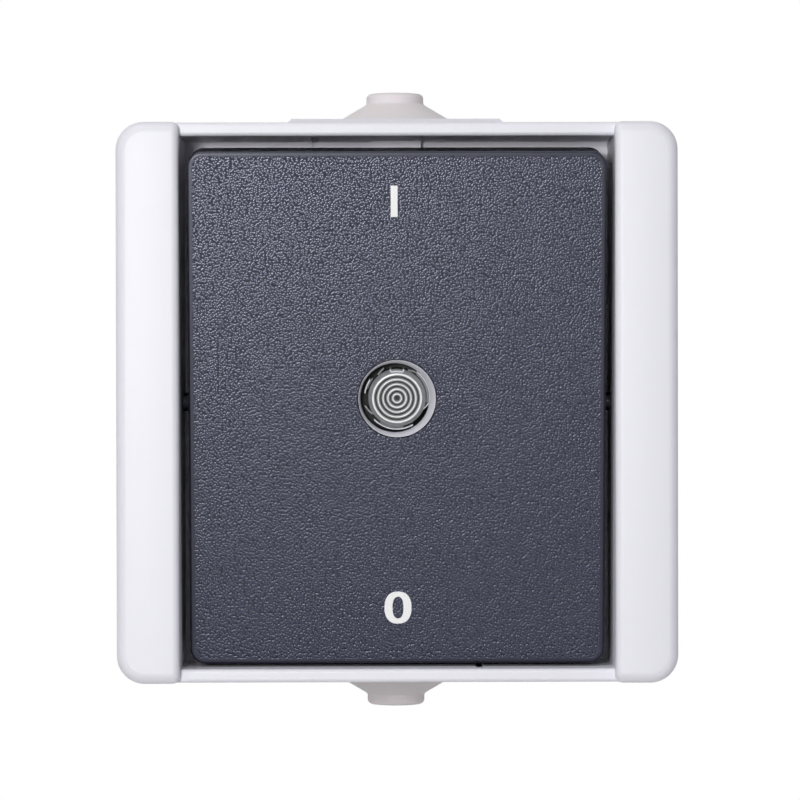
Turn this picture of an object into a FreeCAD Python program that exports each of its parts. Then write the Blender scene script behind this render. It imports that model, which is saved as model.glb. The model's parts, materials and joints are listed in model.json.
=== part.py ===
# Surface-mounted weatherproof rocker switch, two-pole, with an indicator lamp behind the rocker's lens.
# Every piece is drawn as if the switch lay on its back: X to the right, Y up the wall, Z out of the wall,
# with the wall at Z = 0. At the end the pieces are stood up, so that +Z is up and the front faces -Y.
# Millimetres and degrees throughout.
import FreeCAD, Part
import math
import os

from FreeCAD import Vector

# Cover, seen from the front
cover_side = 66.0  # width and height of the square cover
cover_corner_radius = 3.3
rail_width = 7.4  # raised rails at the left and right
rail_crown = 0.15  # bulge of the rails' fronts
rail_edge_radius = 1.3  # rounding round the rails' outer front edges
rail_inner_radius = 0.9  # rounding along the rails' inner front edges
rim_wall = 1.6  # thin rims at the top and bottom
rim_edge_radius = 0.45

# Cover, measured out from the wall
cover_front = 53.0  # front of the rails
rim_drop = 2.4  # rims behind the rails' front
pocket_depth = 13.6  # pocket floor behind the rims
floor_thickness = 2.0
cover_wall = 2.0
opening_half_x = 12.6  # opening in the pocket floor for the drive forks and the lamp
opening_half_y = 6.2
opening_corner_radius = 1.2
opening_lip_wall = 1.2  # drip wall round that opening
opening_lip_rise = 1.8
stop_half_width = 3.0  # stop pads that the pressed rocker end comes to
stop_reach = 2.6
groove_width = 0.8  # shallow drain groove beside each stop pad
groove_depth = 0.6
groove_offset = 9.75

# Base box and the seam between base and cover
parting = 26.0  # shoulder of the base that carries the gasket
base_inset = 1.2  # base walls inside the cover's outline
base_wall = 2.2
back_wall = 2.4
base_edge_radius = 0.8  # rounding of the base's back edge
spigot_wall = 1.0  # inner tongue of the base, inside the gasket
spigot_rise = 2.6
gasket_thickness = 1.2
lip_drop = 1.4  # drip lip of the cover over the base
seam_clearance = 0.1
mount_hole_offset = 22.0  # two wall-screw holes on one diagonal
mount_hole_radius = 2.2
mount_collar_wall = 2.0
mount_collar_rise = 1.0

# Cable glands and the landings that they sit in
gland_height = 13.0  # gland axis above the wall
landing_half = 13.0
landing_rise = 3.3
landing_reach = 10.2  # half the landing's size out from the wall
gland_neck_radius = 5.5
gland_cone_radius = 8.0
gland_cone_rise = 2.7
gland_collar_radius = 3.62
gland_collar_rise = 1.05
gland_collar_edge = 0.4
gland_flange_radius = 6.8
gland_flange_thickness = 1.8
gland_bore_radius = 2.6
gland_mouth_radius = 4.4
gland_membrane = 0.8
gland_fit = 0.05

# Rocker
rocker_drop = 3.0  # rocker face behind the rails' front, at mid swing
rocker_side_gap = 1.0
rocker_end_gap = 0.35  # left at the pressed end
rocker_corner_radius = 1.8
rocker_edge_radius = 0.3
rocker_face_wall = 2.0
rocker_wall = 1.8
rocker_skirt = 8.0  # depth of the shell
rocker_flare = 0.1  # how much the shell widens to its back edge
rocker_swing = 5.6  # half of the swing
pivot_drop = 8.3  # pivot behind the face
stop_clearance = 0.3
ear_radius = 2.6
stud_radius = 1.1
stud_engagement = 1.6
running_clearance = 0.05
rib_offset = 15.0  # two stiffening ribs under the face
rib_wall = 1.2
rib_depth = 2.4

# Lens near the rocker's middle
lens_offset = 1.25  # lens above the rocker's middle
lens_radius = 4.65
lens_fit = 0.06
lens_length = 5.0
lens_lip = 0.1
lens_collar_wall = 0.6
lens_collar_drop = 1.1  # depth of the collar's sloping inside
lens_moat_depth = 3.4
lens_moat_wall = 0.65
lens_disc_drop = 0.45
lens_disc_slope = 0.5
lens_disc_fall = 0.75  # height of the slope round the disc
lens_ridge_count = 5
lens_ridge_depth = 0.2
lens_ridge_slope = 0.75  # share of each ridge that slopes inward
lens_recess_radius = 2.9
lens_window = 1.7
lens_boss_wall = 1.5
lens_boss_length = 2.2
lens_bead = 0.25
lens_bead_length = 0.6

# Switch insert
block_half_x = 16.6
block_half_y = 18.0
block_corner_radius = 1.5
block_height = 18.0
block_floor = 2.0
insert_ear_margin = 4.2  # ear beyond its screw
insert_ear_half_y = 4.5
insert_ear_thickness = 3.0
insert_screw_gap = 2.6  # between an insert screw's head and the base wall
lid_thickness = 3.0
lid_collar_wall = 1.5
lid_collar_rise = 3.5
seal_thickness = 1.5
window_half_x = 14.0  # window in the lid for the toggle
window_half_y = 8.4
toggle_recess = 3.4
partition_wall = 1.0
partition_clearance = 0.4
pole_x = 9.0  # left and right pole from the middle
trench_half = 3.8

# Toggle, plungers and springs
drive_ratio = 1.45  # turn of the toggle for each degree of the rocker
yoke_half_x = 13.4
yoke_half_y = 7.0
yoke_thickness = 3.4
yoke_window_half_x = 4.6
yoke_window_half_y = 4.2
trunnion_radius = 1.5
trunnion_length = 2.2
barrel_radius = 1.5
stem_half_y = 0.9
fork_width = 3.0
fork_wall = 1.6
fork_clearance = 0.2
fork_overhang = 0.8  # fork beyond the barrel
barrel_overhang = 0.2
plunger_radius = 2.0
plunger_guide = 3.4  # plunger length inside its tube
nose_radius = 1.1
tube_wall = 1.05
tube_length = 7.0  # tube behind the toggle's pivot
tube_crown = 1.1  # closed end of the tube, inside the yoke
plunger_clearance = 0.05
spring_radius = 1.4
spring_wire = 0.5
spring_turns = 3
spring_seat = 0.1

# Contacts, strips and terminals
lever_swing = 8.0  # half of the contact lever's swing
lever_half_y = 7.6
lever_half_x = 3.3
lever_thickness = 1.0
lever_notch = 0.3
contact_y = 6.2
contact_radius = 1.5
contact_shank_radius = 0.75
fixed_contact_height = 0.8
moving_contact_height = 0.7
dome_radius = 3.0
contact_clearance = 0.05
knife_half = 0.9
ledge_near = 6.0  # ledges that the open lever comes to
ledge_far = 7.4
ledge_clearance = 0.2
strip_half_x = 2.6
strip_thickness = 1.0
strip_end_y = 16.0
feed_tongue_y = 1.2  # feed strip reaches this far past the knife edge
load_tongue_y = 4.4  # load strip starts here
terminal_y = 13.0
terminal_half_x = 3.5
terminal_half_y = 3.0
terminal_height = 8.0
wire_radius = 1.6
wire_drop = 5.0  # wire hole behind the terminal's front
wire_funnel = 0.6
terminal_pocket_clearance = 0.4

# Screws
screw_radius = 1.7
screw_head_radius = 3.0
screw_head_height = 2.0
screw_slot_width = 0.9
screw_slot_depth = 0.9
screw_fit = 0.05
screw_hole_clearance = 0.4
screw_tip_clearance = 0.6
cover_screw_x = 18.5
cover_screw_y = 24.0
cover_screw_length = 15.0
boss_wall = 1.9
rib_thickness = 1.6
rest_rib_y = 14.0
rest_rib_half_x = 12.0
terminal_screw_head_radius = 2.6
terminal_screw_lift = 0.6
lid_screw_y = 14.0
lid_screw_radius = 1.3
lid_screw_head_radius = 2.4
lid_screw_length = 8.0

# Indicator lamp
lamp_radius = 2.7
lamp_tip_radius = 1.3
lamp_tip_length = 1.6
lamp_rise = 1.0  # lamp above the back of the pocket floor
lamp_socket_depth = 4.0
lamp_fit = 0.05
holder_half_x = 3.6
holder_half_y = 6.0
holder_height = 8.0
holder_clearance = 0.15
holder_floor = 1.0  # block floor under the holder
resistor_radius = 1.1
resistor_y = 4.4
resistor_length = 6.5
resistor_fit = 0.1
tab_inner_x = 2.6
tab_outer_x = 7.2
tab_near_y = 4.7
tab_far_y = 5.8
tab_thickness = 0.5

# Places that follow from the sizes above
cover_half = cover_side / 2
pocket_half_x = cover_half - rail_width
pocket_half_y = cover_half - rim_wall
rim_front = cover_front - rim_drop
floor_front = rim_front - pocket_depth
floor_back = floor_front - floor_thickness
base_half = cover_half - base_inset
inner_half = base_half - base_wall
spigot_half = inner_half + spigot_wall
landing_top = base_half + landing_rise
landing_inner = landing_top - base_wall
rocker_face = cover_front - rocker_drop
pivot = rocker_face - pivot_drop
swing_sin = math.sin(math.radians(rocker_swing))
swing_cos = math.cos(math.radians(rocker_swing))
rocker_half_x = pocket_half_x - rocker_side_gap
rocker_half_y = (pocket_half_y - rocker_end_gap - pivot_drop * swing_sin) / swing_cos
skirt_half_x = rocker_half_x + rocker_flare
skirt_half_y = rocker_half_y + rocker_flare
skirt_back = rocker_face - rocker_skirt
stop_top = pivot - skirt_half_y * swing_sin + (skirt_back - pivot) * swing_cos - stop_clearance
lid_front = floor_back - seal_thickness - lid_collar_rise
block_front = lid_front - lid_thickness
insert_seat = block_front - block_height
insert_screw_x = inner_half - screw_head_radius - insert_screw_gap
toggle_pivot = block_front
barrel_arm = (pivot - toggle_pivot) / (1 + drive_ratio)
barrel_height = toggle_pivot + barrel_arm
toggle_swing = rocker_swing * drive_ratio
trench_floor = insert_seat + block_floor
strip_front = trench_floor + strip_thickness
trench_half_y = strip_end_y + terminal_pocket_clearance
terminal_front = strip_front + terminal_height
wire_height = terminal_front - wire_drop
lever_sin = math.sin(math.radians(lever_swing))
lever_cos = math.cos(math.radians(lever_swing))
dome_depth = lever_notch + moving_contact_height
dome_lowest = -contact_y * lever_sin + (dome_radius - dome_depth) * lever_cos - dome_radius
knife_edge = strip_front + fixed_contact_height + contact_clearance - dome_lowest
ledge_top = knife_edge - ledge_far * lever_sin - lever_notch * lever_cos - contact_clearance
plunger_tip = knife_edge + lever_thickness - lever_notch + contact_clearance
tube_end = toggle_pivot - tube_length
plunger_top = tube_end + plunger_guide
tube_top = toggle_pivot + yoke_thickness / 2 - tube_crown
holder_back = insert_seat + holder_floor
holder_front = holder_back + holder_height
lamp_top = floor_back + lamp_rise


def block(x0, x1, y0, y1, z0, z1):
    """A box between the given limits."""
    return Part.makeBox(x1 - x0, y1 - y0, z1 - z0, Vector(x0, y0, z0))


def slab(half_x, half_y, z0, z1, x=0.0, y=0.0):
    """A box centred on (x, y)."""
    return block(x - half_x, x + half_x, y - half_y, y + half_y, z0, z1)


def rod(radius, z0, z1, x=0.0, y=0.0):
    """A round bar that points out of the wall."""
    return Part.makeCylinder(radius, z1 - z0, Vector(x, y, z0))


def cross_rod(radius, x0, x1, y, z):
    """A round bar from left to right."""
    return Part.makeCylinder(radius, x1 - x0, Vector(x0, y, z), Vector(1, 0, 0))


def up_rod(radius, y0, y1, x, z):
    """A round bar up the wall."""
    return Part.makeCylinder(radius, y1 - y0, Vector(x, y0, z), Vector(0, 1, 0))


def rounded_outline(half_x, half_y, radius, z):
    """A closed rectangle with round corners, as lines and arcs."""
    in_x = half_x - radius
    in_y = half_y - radius
    diagonal = radius * math.sqrt(0.5)
    edges = []
    for sx, sy, turn in ((1, 1, 0), (-1, 1, 1), (-1, -1, 0), (1, -1, 1)):
        on_side = Vector(sx * half_x, sy * in_y, z)
        on_end = Vector(sx * in_x, sy * half_y, z)
        middle = Vector(sx * (in_x + diagonal), sy * (in_y + diagonal), z)
        first, last = (on_end, on_side) if turn else (on_side, on_end)
        if edges:
            edges.append(Part.makeLine(edges[-1].lastVertex(True).Point, first))
        edges.append(Part.Arc(first, middle, last).toShape())
    edges.append(Part.makeLine(edges[-1].lastVertex(True).Point, edges[0].firstVertex(True).Point))
    return Part.Wire(edges)


def rounded_slab(half_x, half_y, radius, z0, z1):
    """A plate with round corners."""
    return Part.Face(rounded_outline(half_x, half_y, radius, z0)).extrude(Vector(0, 0, z1 - z0))


def spun(edges):
    """Turn a closed outline, drawn in the XZ plane, about the Z axis."""
    face = Part.Face(Part.Wire(edges))
    return face.revolve(Vector(0, 0, 0), Vector(0, 0, 1), 360)


def chain(points):
    """Straight edges through (radius, height) points."""
    corners = [Vector(r, 0, z) for r, z in points]
    return [Part.makeLine(a, b) for a, b in zip(corners, corners[1:])]


def joined(first, *others):
    """One solid from touching pieces."""
    return first.multiFuse(list(others)).removeSplitter()


def edges_at(shape, test):
    """The edges whose middle passes the test."""
    return [e for e in shape.Edges if test(e.CenterOfMass, e)]


def mirrored(shape):
    """The same piece on the other side of the middle."""
    return shape.mirror(Vector(0, 0, 0), Vector(1, 0, 0))


def tilted(shape, height, angle):
    """Swing a piece about a left-to-right axis at the given height."""
    turned = shape.copy()
    turned.rotate(Vector(0, 0, height), Vector(1, 0, 0), angle)
    return turned


def slotted_screw(x, y, seat, length, shank, head, slot_turn):
    """A cheese-head screw with its head on the plane z = seat."""
    top = seat + screw_head_height
    body = joined(rod(shank, seat - length, seat, x, y), rod(head, seat, top, x, y))
    slot = slab(head + 1, screw_slot_width / 2, top - screw_slot_depth, top + 1)
    slot.rotate(Vector(0, 0, 0), Vector(0, 0, 1), slot_turn)
    slot.translate(Vector(x, y, 0))
    return body.cut(slot)


def landing(sign):
    """The raised seat of a cable gland on the top (1) or bottom (-1) wall, with sloping ends."""
    corners = [
        Vector(-landing_half - landing_rise, sign * base_half, 0),
        Vector(-landing_half, sign * landing_top, 0),
        Vector(landing_half, sign * landing_top, 0),
        Vector(landing_half + landing_rise, sign * base_half, 0),
        Vector(landing_half + landing_rise, sign * (base_half - base_wall / 2), 0),
        Vector(-landing_half - landing_rise, sign * (base_half - base_wall / 2), 0),
    ]
    shape = Part.Face(Part.makePolygon(corners + corners[:1])).extrude(Vector(0, 0, 2 * landing_reach))
    shape.translate(Vector(0, 0, gland_height - landing_reach))
    return shape


def make_base_box():
    corner = cover_corner_radius - base_inset
    boss_radius = screw_radius + screw_fit + boss_wall
    tray = rounded_slab(base_half, base_half, corner, 0, parting)
    tray = tray.makeFillet(base_edge_radius, edges_at(tray, lambda c, e: c.z < 1e-3))
    shape = joined(
        tray,
        rounded_slab(spigot_half, spigot_half, corner, back_wall, parting + spigot_rise),
        landing(1),
        landing(-1),
    )
    shape = shape.cut(slab(inner_half, inner_half, back_wall, parting + spigot_rise + 1))
    recess_x = landing_half - base_wall
    recess_z = landing_reach - base_wall
    for sign in (1, -1):
        low, high = sorted((sign * (inner_half - 1), sign * landing_inner))
        recess = block(-recess_x, recess_x, low, high, gland_height - recess_z, gland_height + recess_z)
        low, high = sorted((sign * (landing_inner - 1), sign * (landing_top + 1)))
        shape = shape.cut([recess, up_rod(gland_neck_radius + gland_fit, low, high, 0, gland_height)])
    added = []
    pilots = []
    for sign in (1, -1):
        x, y = -sign * cover_screw_x, sign * cover_screw_y
        added.append(rod(boss_radius, back_wall, floor_back, x, y))
        wall_x, tower_x = sorted((-sign * inner_half, x))
        added.append(block(wall_x, tower_x, y - rib_thickness / 2, y + rib_thickness / 2, back_wall, parting))
        tip = floor_front - cover_screw_length - screw_tip_clearance
        pilots.append(rod(screw_radius + screw_fit, tip, floor_back + 1, x, y))
        added.append(rod(boss_radius, back_wall, insert_seat, sign * insert_screw_x, 0))
        pilots.append(rod(screw_radius + screw_fit, back_wall, insert_seat + 1, sign * insert_screw_x, 0))
        added.append(slab(rest_rib_half_x, rib_thickness / 2, back_wall, insert_seat, 0, sign * rest_rib_y))
        hole = sign * mount_hole_offset
        collar = mount_hole_radius + mount_collar_wall
        added.append(rod(collar, back_wall, back_wall + mount_collar_rise, hole, hole))
        pilots.append(rod(mount_hole_radius, -1, back_wall + mount_collar_rise + 1, hole, hole))
    return joined(shape, *added).cut(pilots)


def make_rail():
    """The right rail: a crowned bar with rounded outer, end and inner edges."""
    middle = (pocket_half_x + cover_half) / 2
    crown_radius = (rail_width**2 / 4 + rail_crown**2) / (2 * rail_crown)
    outline = rounded_slab(cover_half, cover_half, cover_corner_radius, rim_front - 1, cover_front)
    bar = outline.common(block(pocket_half_x, cover_half, -cover_half, cover_half, 0, cover_front))
    crown = up_rod(crown_radius, -cover_side, cover_side, middle, cover_front - crown_radius)
    bar = bar.common(crown)
    shoulder = cover_front - rail_crown - 1e-3
    outer = edges_at(bar, lambda c, e: c.z > shoulder and c.x > pocket_half_x + 1e-3)
    bar = bar.makeFillet(rail_edge_radius, outer)
    inner = edges_at(bar, lambda c, e: c.z > shoulder and c.x < pocket_half_x + 1e-3)
    return bar.makeFillet(rail_inner_radius, inner)


def make_cover_frame():
    seam = parting + gasket_thickness
    corner = cover_corner_radius - base_inset
    shell = rounded_slab(cover_half, cover_half, cover_corner_radius, parting - lip_drop, rim_front)
    shell = shell.cut(slab(pocket_half_x, pocket_half_y, floor_front, rim_front + 1))
    rim = edges_at(shell, lambda c, e: c.z > rim_front - 1e-3 and abs(c.x) < 1e-3)
    shell = shell.makeFillet(rim_edge_radius, rim)
    rail = make_rail()
    shell = joined(shell, rail, mirrored(rail))
    lip_half = base_half + seam_clearance
    skirt_half = spigot_half + seam_clearance
    cavities = [
        rounded_slab(lip_half, lip_half, corner, parting - lip_drop - 1, seam),
        rounded_slab(skirt_half, skirt_half, corner, seam - 1, floor_back),
    ]
    rail_inner = pocket_half_x + cover_wall
    for low, high in ((rail_inner, spigot_half), (-spigot_half, -rail_inner)):
        top = cover_front - cover_wall - rail_crown
        cavities.append(block(low, high, -spigot_half, spigot_half, floor_back - 1, top))
    shell = shell.cut(cavities)
    lip_x = opening_half_x + opening_lip_wall
    lip_y = opening_half_y + opening_lip_wall
    lip_corner = opening_corner_radius + opening_lip_wall
    added = [rounded_slab(lip_x, lip_y, lip_corner, floor_back, floor_front + opening_lip_rise)]
    for sign in (1, -1):
        low, high = sorted((sign * (pocket_half_y - stop_reach), sign * (pocket_half_y + rim_wall / 2)))
        added.append(block(-stop_half_width, stop_half_width, low, high, floor_front - 1, stop_top))
    shell = joined(shell, *added)
    cuts = [
        rounded_slab(opening_half_x, opening_half_y, opening_corner_radius, floor_back - 1, cover_front),
        cross_rod(stud_radius + running_clearance, -rail_inner - 1, rail_inner + 1, 0, pivot),
    ]
    hole_radius = screw_radius + screw_hole_clearance
    for sign in (1, -1):
        x, y = -sign * cover_screw_x, sign * cover_screw_y
        cuts.append(rod(hole_radius, floor_back - 1, floor_front + 1, x, y))
        groove_x = -sign * groove_offset
        low, high = sorted((sign * (pocket_half_y - stop_reach), sign * (pocket_half_y + groove_depth)))
        cuts.append(
            block(groove_x - groove_width / 2, groove_x + groove_width / 2, low, high,
                  floor_front - groove_depth, rim_front - rim_drop)
        )
    return shell.cut(cuts)


def make_cover_gasket():
    corner = cover_corner_radius - base_inset
    front = parting + gasket_thickness
    inner_half_side = spigot_half + seam_clearance
    outer = rounded_slab(base_half, base_half, corner, parting, front)
    return outer.cut(rounded_slab(inner_half_side, inner_half_side, corner, parting - 1, front + 1))


def make_gland(sign):
    """A soft gland, turned about its own axis and set in the top (1) or bottom (-1) landing."""
    cone_top = gland_cone_rise
    tip = cone_top + gland_collar_rise
    inner_end = -base_wall - gland_flange_thickness
    outline = [
        (0, tip - gland_membrane),
        (gland_bore_radius, tip - gland_membrane),
        (gland_bore_radius, 0),
        (gland_mouth_radius, -base_wall),
        (gland_mouth_radius, inner_end),
        (gland_flange_radius, inner_end),
        (gland_flange_radius, -base_wall),
        (gland_neck_radius, -base_wall),
        (gland_neck_radius, 0),
        (gland_cone_radius, 0),
        (gland_collar_radius, cone_top),
        (gland_collar_radius, tip - gland_collar_edge),
        (gland_collar_radius - gland_collar_edge, tip),
        (0, tip),
    ]
    shape = spun(chain(outline + outline[:1]))
    shape.rotate(Vector(0, 0, 0), Vector(1, 0, 0), -90 * sign)
    shape.translate(Vector(0, sign * landing_top, gland_height))
    return shape


def make_cover_screws():
    screws = []
    for sign, turn in ((1, 25), (-1, 70)):
        x, y = -sign * cover_screw_x, sign * cover_screw_y
        screws.append(
            slotted_screw(x, y, floor_front, cover_screw_length, screw_radius, screw_head_radius, turn)
        )
    return Part.makeCompound(screws)


def make_rocker():
    """The rocker at mid swing: a flared shell with ribs, lens boss, pivot ears and drive forks."""
    face_back = rocker_face - rocker_face_wall
    plate = rounded_slab(rocker_half_x, rocker_half_y, rocker_corner_radius, face_back, rocker_face)
    rim = edges_at(plate, lambda c, e: c.z > rocker_face - 1e-3)
    plate = plate.makeFillet(rocker_edge_radius, rim)
    front = rounded_outline(rocker_half_x, rocker_half_y, rocker_corner_radius, face_back)
    back = rounded_outline(skirt_half_x, skirt_half_y, rocker_corner_radius, skirt_back)
    shell = joined(plate, Part.makeLoft([back, front], True, True))
    inner_x = skirt_half_x - rocker_wall
    shell = shell.cut(slab(inner_x, skirt_half_y - rocker_wall, skirt_back - 1, face_back))
    boss_radius = lens_radius + lens_fit + lens_boss_wall
    boss_front = rocker_face - rocker_face_wall / 2
    added = [rod(boss_radius, face_back - lens_boss_length, boss_front, 0, lens_offset)]
    cuts = [rod(lens_radius + lens_fit, skirt_back - 1, rocker_face + 1, 0, lens_offset)]
    fork_half = barrel_radius + fork_clearance
    fork_end = barrel_height - barrel_radius - fork_overhang
    fork_root = barrel_height + barrel_radius + fork_clearance
    rib_half_y = skirt_half_y - rocker_wall / 2
    for sign in (1, -1):
        fork_x = sign * pole_x
        added.append(slab(fork_width / 2, fork_half + fork_wall, fork_end, face_back + 1, fork_x, 0))
        cuts.append(slab(fork_width, fork_half, fork_end - 1, fork_root, fork_x, 0))
        added.append(slab(rib_wall / 2, rib_half_y, face_back - rib_depth, face_back + 1, sign * rib_offset))
        inside, outside = sorted((sign * inner_x, sign * rocker_half_x))
        added.append(block(inside, outside, -ear_radius, ear_radius, pivot, face_back))
        added.append(cross_rod(ear_radius, inside, outside, 0, pivot))
        inside, outside = sorted((sign * inner_x, sign * (pocket_half_x + stud_engagement)))
        added.append(cross_rod(stud_radius, inside, outside, 0, pivot))
    return joined(shell, *added).cut(cuts)


def make_lens():
    """The lens at mid swing: a clear cap with a funnel collar, a moat and a ridged disc, snapped in."""
    back = rocker_face - lens_length
    bead_back = rocker_face - rocker_face_wall - lens_boss_length
    bead_peak = bead_back - lens_fit
    bead_root = bead_peak - lens_bead_length
    collar_inner = lens_radius - lens_collar_wall
    moat_floor = rocker_face - lens_moat_depth
    moat_inner = collar_inner - lens_moat_wall
    disc_radius = moat_inner - lens_disc_slope
    disc_top = rocker_face - lens_disc_drop
    recess_top = disc_top - lens_window
    outline = [
        (0, recess_top),
        (lens_recess_radius, recess_top),
        (lens_recess_radius, back),
        (lens_radius, back),
        (lens_radius, bead_root),
        (lens_radius + lens_bead, bead_peak),
        (lens_radius, bead_peak),
        (lens_radius, rocker_face - lens_lip),
        (lens_radius - lens_lip, rocker_face),
        (collar_inner, rocker_face - lens_collar_drop),
        (collar_inner, moat_floor),
        (moat_inner, moat_floor),
        (moat_inner, disc_top - lens_disc_fall),
        (disc_radius, disc_top),
    ]
    pitch = disc_radius / lens_ridge_count
    for ridge in range(lens_ridge_count):
        outer = disc_radius - ridge * pitch
        outline.append((outer - pitch * lens_ridge_slope, disc_top - lens_ridge_depth))
        if ridge < lens_ridge_count - 1:
            outline.append((outer - pitch, disc_top))
    outline.append((0, disc_top - lens_ridge_depth))
    shape = spun(chain(outline + outline[:1]))
    shape.translate(Vector(0, lens_offset, 0))
    return shape


def make_mechanism_block():
    shape = rounded_slab(block_half_x, block_half_y, block_corner_radius, insert_seat, block_front)
    added = []
    cuts = [
        slab(window_half_x, window_half_y, block_front - toggle_recess, block_front + 1),
        slab(holder_half_x + holder_clearance, holder_half_y + holder_clearance, holder_back, block_front),
        cross_rod(trunnion_radius + running_clearance, -trunnion_end(), trunnion_end(), 0, toggle_pivot),
    ]
    for sign in (1, -1):
        ear_low, ear_high = sorted((sign * (block_half_x - 1), sign * (insert_screw_x + insert_ear_margin)))
        ear_front = insert_seat + insert_ear_thickness
        added.append(block(ear_low, ear_high, -insert_ear_half_y, insert_ear_half_y, insert_seat, ear_front))
        hole = screw_radius + screw_hole_clearance
        cuts.append(rod(hole, insert_seat - 1, ear_front + 1, sign * insert_screw_x, 0))
        cuts.append(slab(trench_half, trench_half_y, trench_floor, block_front + 1, sign * pole_x, 0))
        tip = block_front - lid_screw_length
        cuts.append(rod(lid_screw_radius + screw_fit, tip, block_front + 1, 0, sign * lid_screw_y))
        slot_low, slot_high = sorted((sign * holder_half_x, sign * pole_x))
        slot_y0 = tab_near_y - holder_clearance
        slot_y1 = tab_far_y + holder_clearance
        cuts.append(block(slot_low, slot_high, slot_y0, slot_y1, strip_front, block_front))
        for pole in (1, -1):
            low, high = sorted((sign * (trench_half_y - 1), sign * (block_half_y + 1)))
            cuts.append(up_rod(wire_radius + wire_funnel, low, high, pole * pole_x, wire_height))
    shape = joined(shape, *added).cut(cuts)
    ledges = []
    for sign in (1, -1):
        for side in (1, -1):
            strip_edge = sign * pole_x + side * (strip_half_x + ledge_clearance)
            low, high = sorted((strip_edge, sign * pole_x + side * trench_half))
            ledges.append(block(low, high, -ledge_far, -ledge_near, trench_floor, ledge_top))
    return joined(shape, *ledges)


def trunnion_end():
    """Where the toggle's trunnion bores stop, left and right of the middle."""
    return yoke_half_x + trunnion_length + running_clearance


def make_mechanism_lid():
    collar_top = floor_back - seal_thickness
    outer_x = window_half_x + lid_collar_wall
    outer_y = window_half_y + lid_collar_wall
    shape = joined(
        rounded_slab(block_half_x, block_half_y, block_corner_radius, block_front, lid_front),
        slab(outer_x, outer_y, block_front, collar_top),
    )
    cuts = [
        slab(window_half_x, window_half_y, block_front - 1, collar_top + 1),
        cross_rod(trunnion_radius + running_clearance, -trunnion_end(), trunnion_end(), 0, toggle_pivot),
    ]
    added = []
    hole = lid_screw_radius + screw_hole_clearance
    for sign in (1, -1):
        cuts.append(rod(hole, block_front - 1, lid_front + 1, 0, sign * lid_screw_y))
        for pole in (1, -1):
            access = terminal_screw_head_radius + screw_hole_clearance
            cuts.append(rod(access, block_front - 1, collar_top + 1, pole * pole_x, sign * terminal_y))
            near = terminal_y - terminal_half_y - partition_clearance
            low, high = sorted((sign * (near - partition_wall), sign * near))
            half = trench_half - partition_clearance
            added.append(
                block(pole * pole_x - half, pole * pole_x + half, low, high,
                      strip_front + partition_clearance, block_front + lid_thickness / 2)
            )
    return joined(shape.cut(cuts), *added)


def make_mechanism_seal():
    outer_x = window_half_x + lid_collar_wall
    outer_y = window_half_y + lid_collar_wall
    seat = floor_back - seal_thickness
    return slab(outer_x, outer_y, seat, floor_back).cut(
        slab(window_half_x, window_half_y, seat - 1, floor_back + 1)
    )


def make_mechanism_screws():
    seat = insert_seat + insert_ear_thickness
    length = seat - back_wall - screw_tip_clearance
    return Part.makeCompound([
        slotted_screw(x, 0, seat, length, screw_radius, screw_head_radius, turn)
        for x, turn in ((insert_screw_x, 40), (-insert_screw_x, -20))
    ])


def make_lid_screws():
    length = lid_thickness + lid_screw_length - screw_tip_clearance
    return Part.makeCompound([
        slotted_screw(0, y, lid_front, length, lid_screw_radius, lid_screw_head_radius, turn)
        for y, turn in ((lid_screw_y, 15), (-lid_screw_y, 60))
    ])


def make_toggle():
    """The toggle at mid swing: a yoke with trunnions, two plunger tubes and two drive barrels."""
    back = toggle_pivot - yoke_thickness / 2
    front = toggle_pivot + yoke_thickness / 2
    added = []
    bores = [slab(yoke_window_half_x, yoke_window_half_y, back - 1, front + 1)]
    barrel_half = fork_width / 2 + barrel_overhang
    for sign in (1, -1):
        x = sign * pole_x
        added.append(rod(plunger_radius + plunger_clearance + tube_wall, tube_end, toggle_pivot, x, 0))
        bores.append(rod(plunger_radius + plunger_clearance, tube_end - 1, tube_top, x, 0))
        added.append(slab(barrel_half, stem_half_y, toggle_pivot, barrel_height, x, 0))
        added.append(cross_rod(barrel_radius, x - barrel_half, x + barrel_half, 0, barrel_height))
        low, high = sorted((sign * (yoke_half_x - 1), sign * (yoke_half_x + trunnion_length)))
        added.append(cross_rod(trunnion_radius, low, high, 0, toggle_pivot))
    return joined(slab(yoke_half_x, yoke_half_y, back, front), *added).cut(bores)


def make_plunger():
    """The right plunger at mid swing: a pin with a slimmer nose that ends in a ball."""
    centre = plunger_tip + nose_radius
    ball = Part.makeSphere(nose_radius, Vector(pole_x, 0, centre))
    nose = rod(nose_radius, centre, tube_end, pole_x, 0)
    return joined(rod(plunger_radius, tube_end, plunger_top, pole_x, 0), nose, ball)


def make_plunger_spring():
    """The right plunger's spring at mid swing: a coil between the plunger and the tube's end."""
    low = plunger_top + spring_seat + spring_wire / 2
    height = tube_top - spring_seat - spring_wire / 2 - low
    path = Part.Wire(Part.makeHelix(height / spring_turns, height, spring_radius))
    half = spring_wire / 2
    corners = [
        Vector(spring_radius - half, 0, 0),
        Vector(spring_radius, 0, half),
        Vector(spring_radius + half, 0, 0),
        Vector(spring_radius, 0, -half),
    ]
    section = Part.makePolygon(corners + corners[:1])
    coil = path.makePipeShell([section], True, True)
    coil.translate(Vector(pole_x, 0, low))
    return coil


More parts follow.
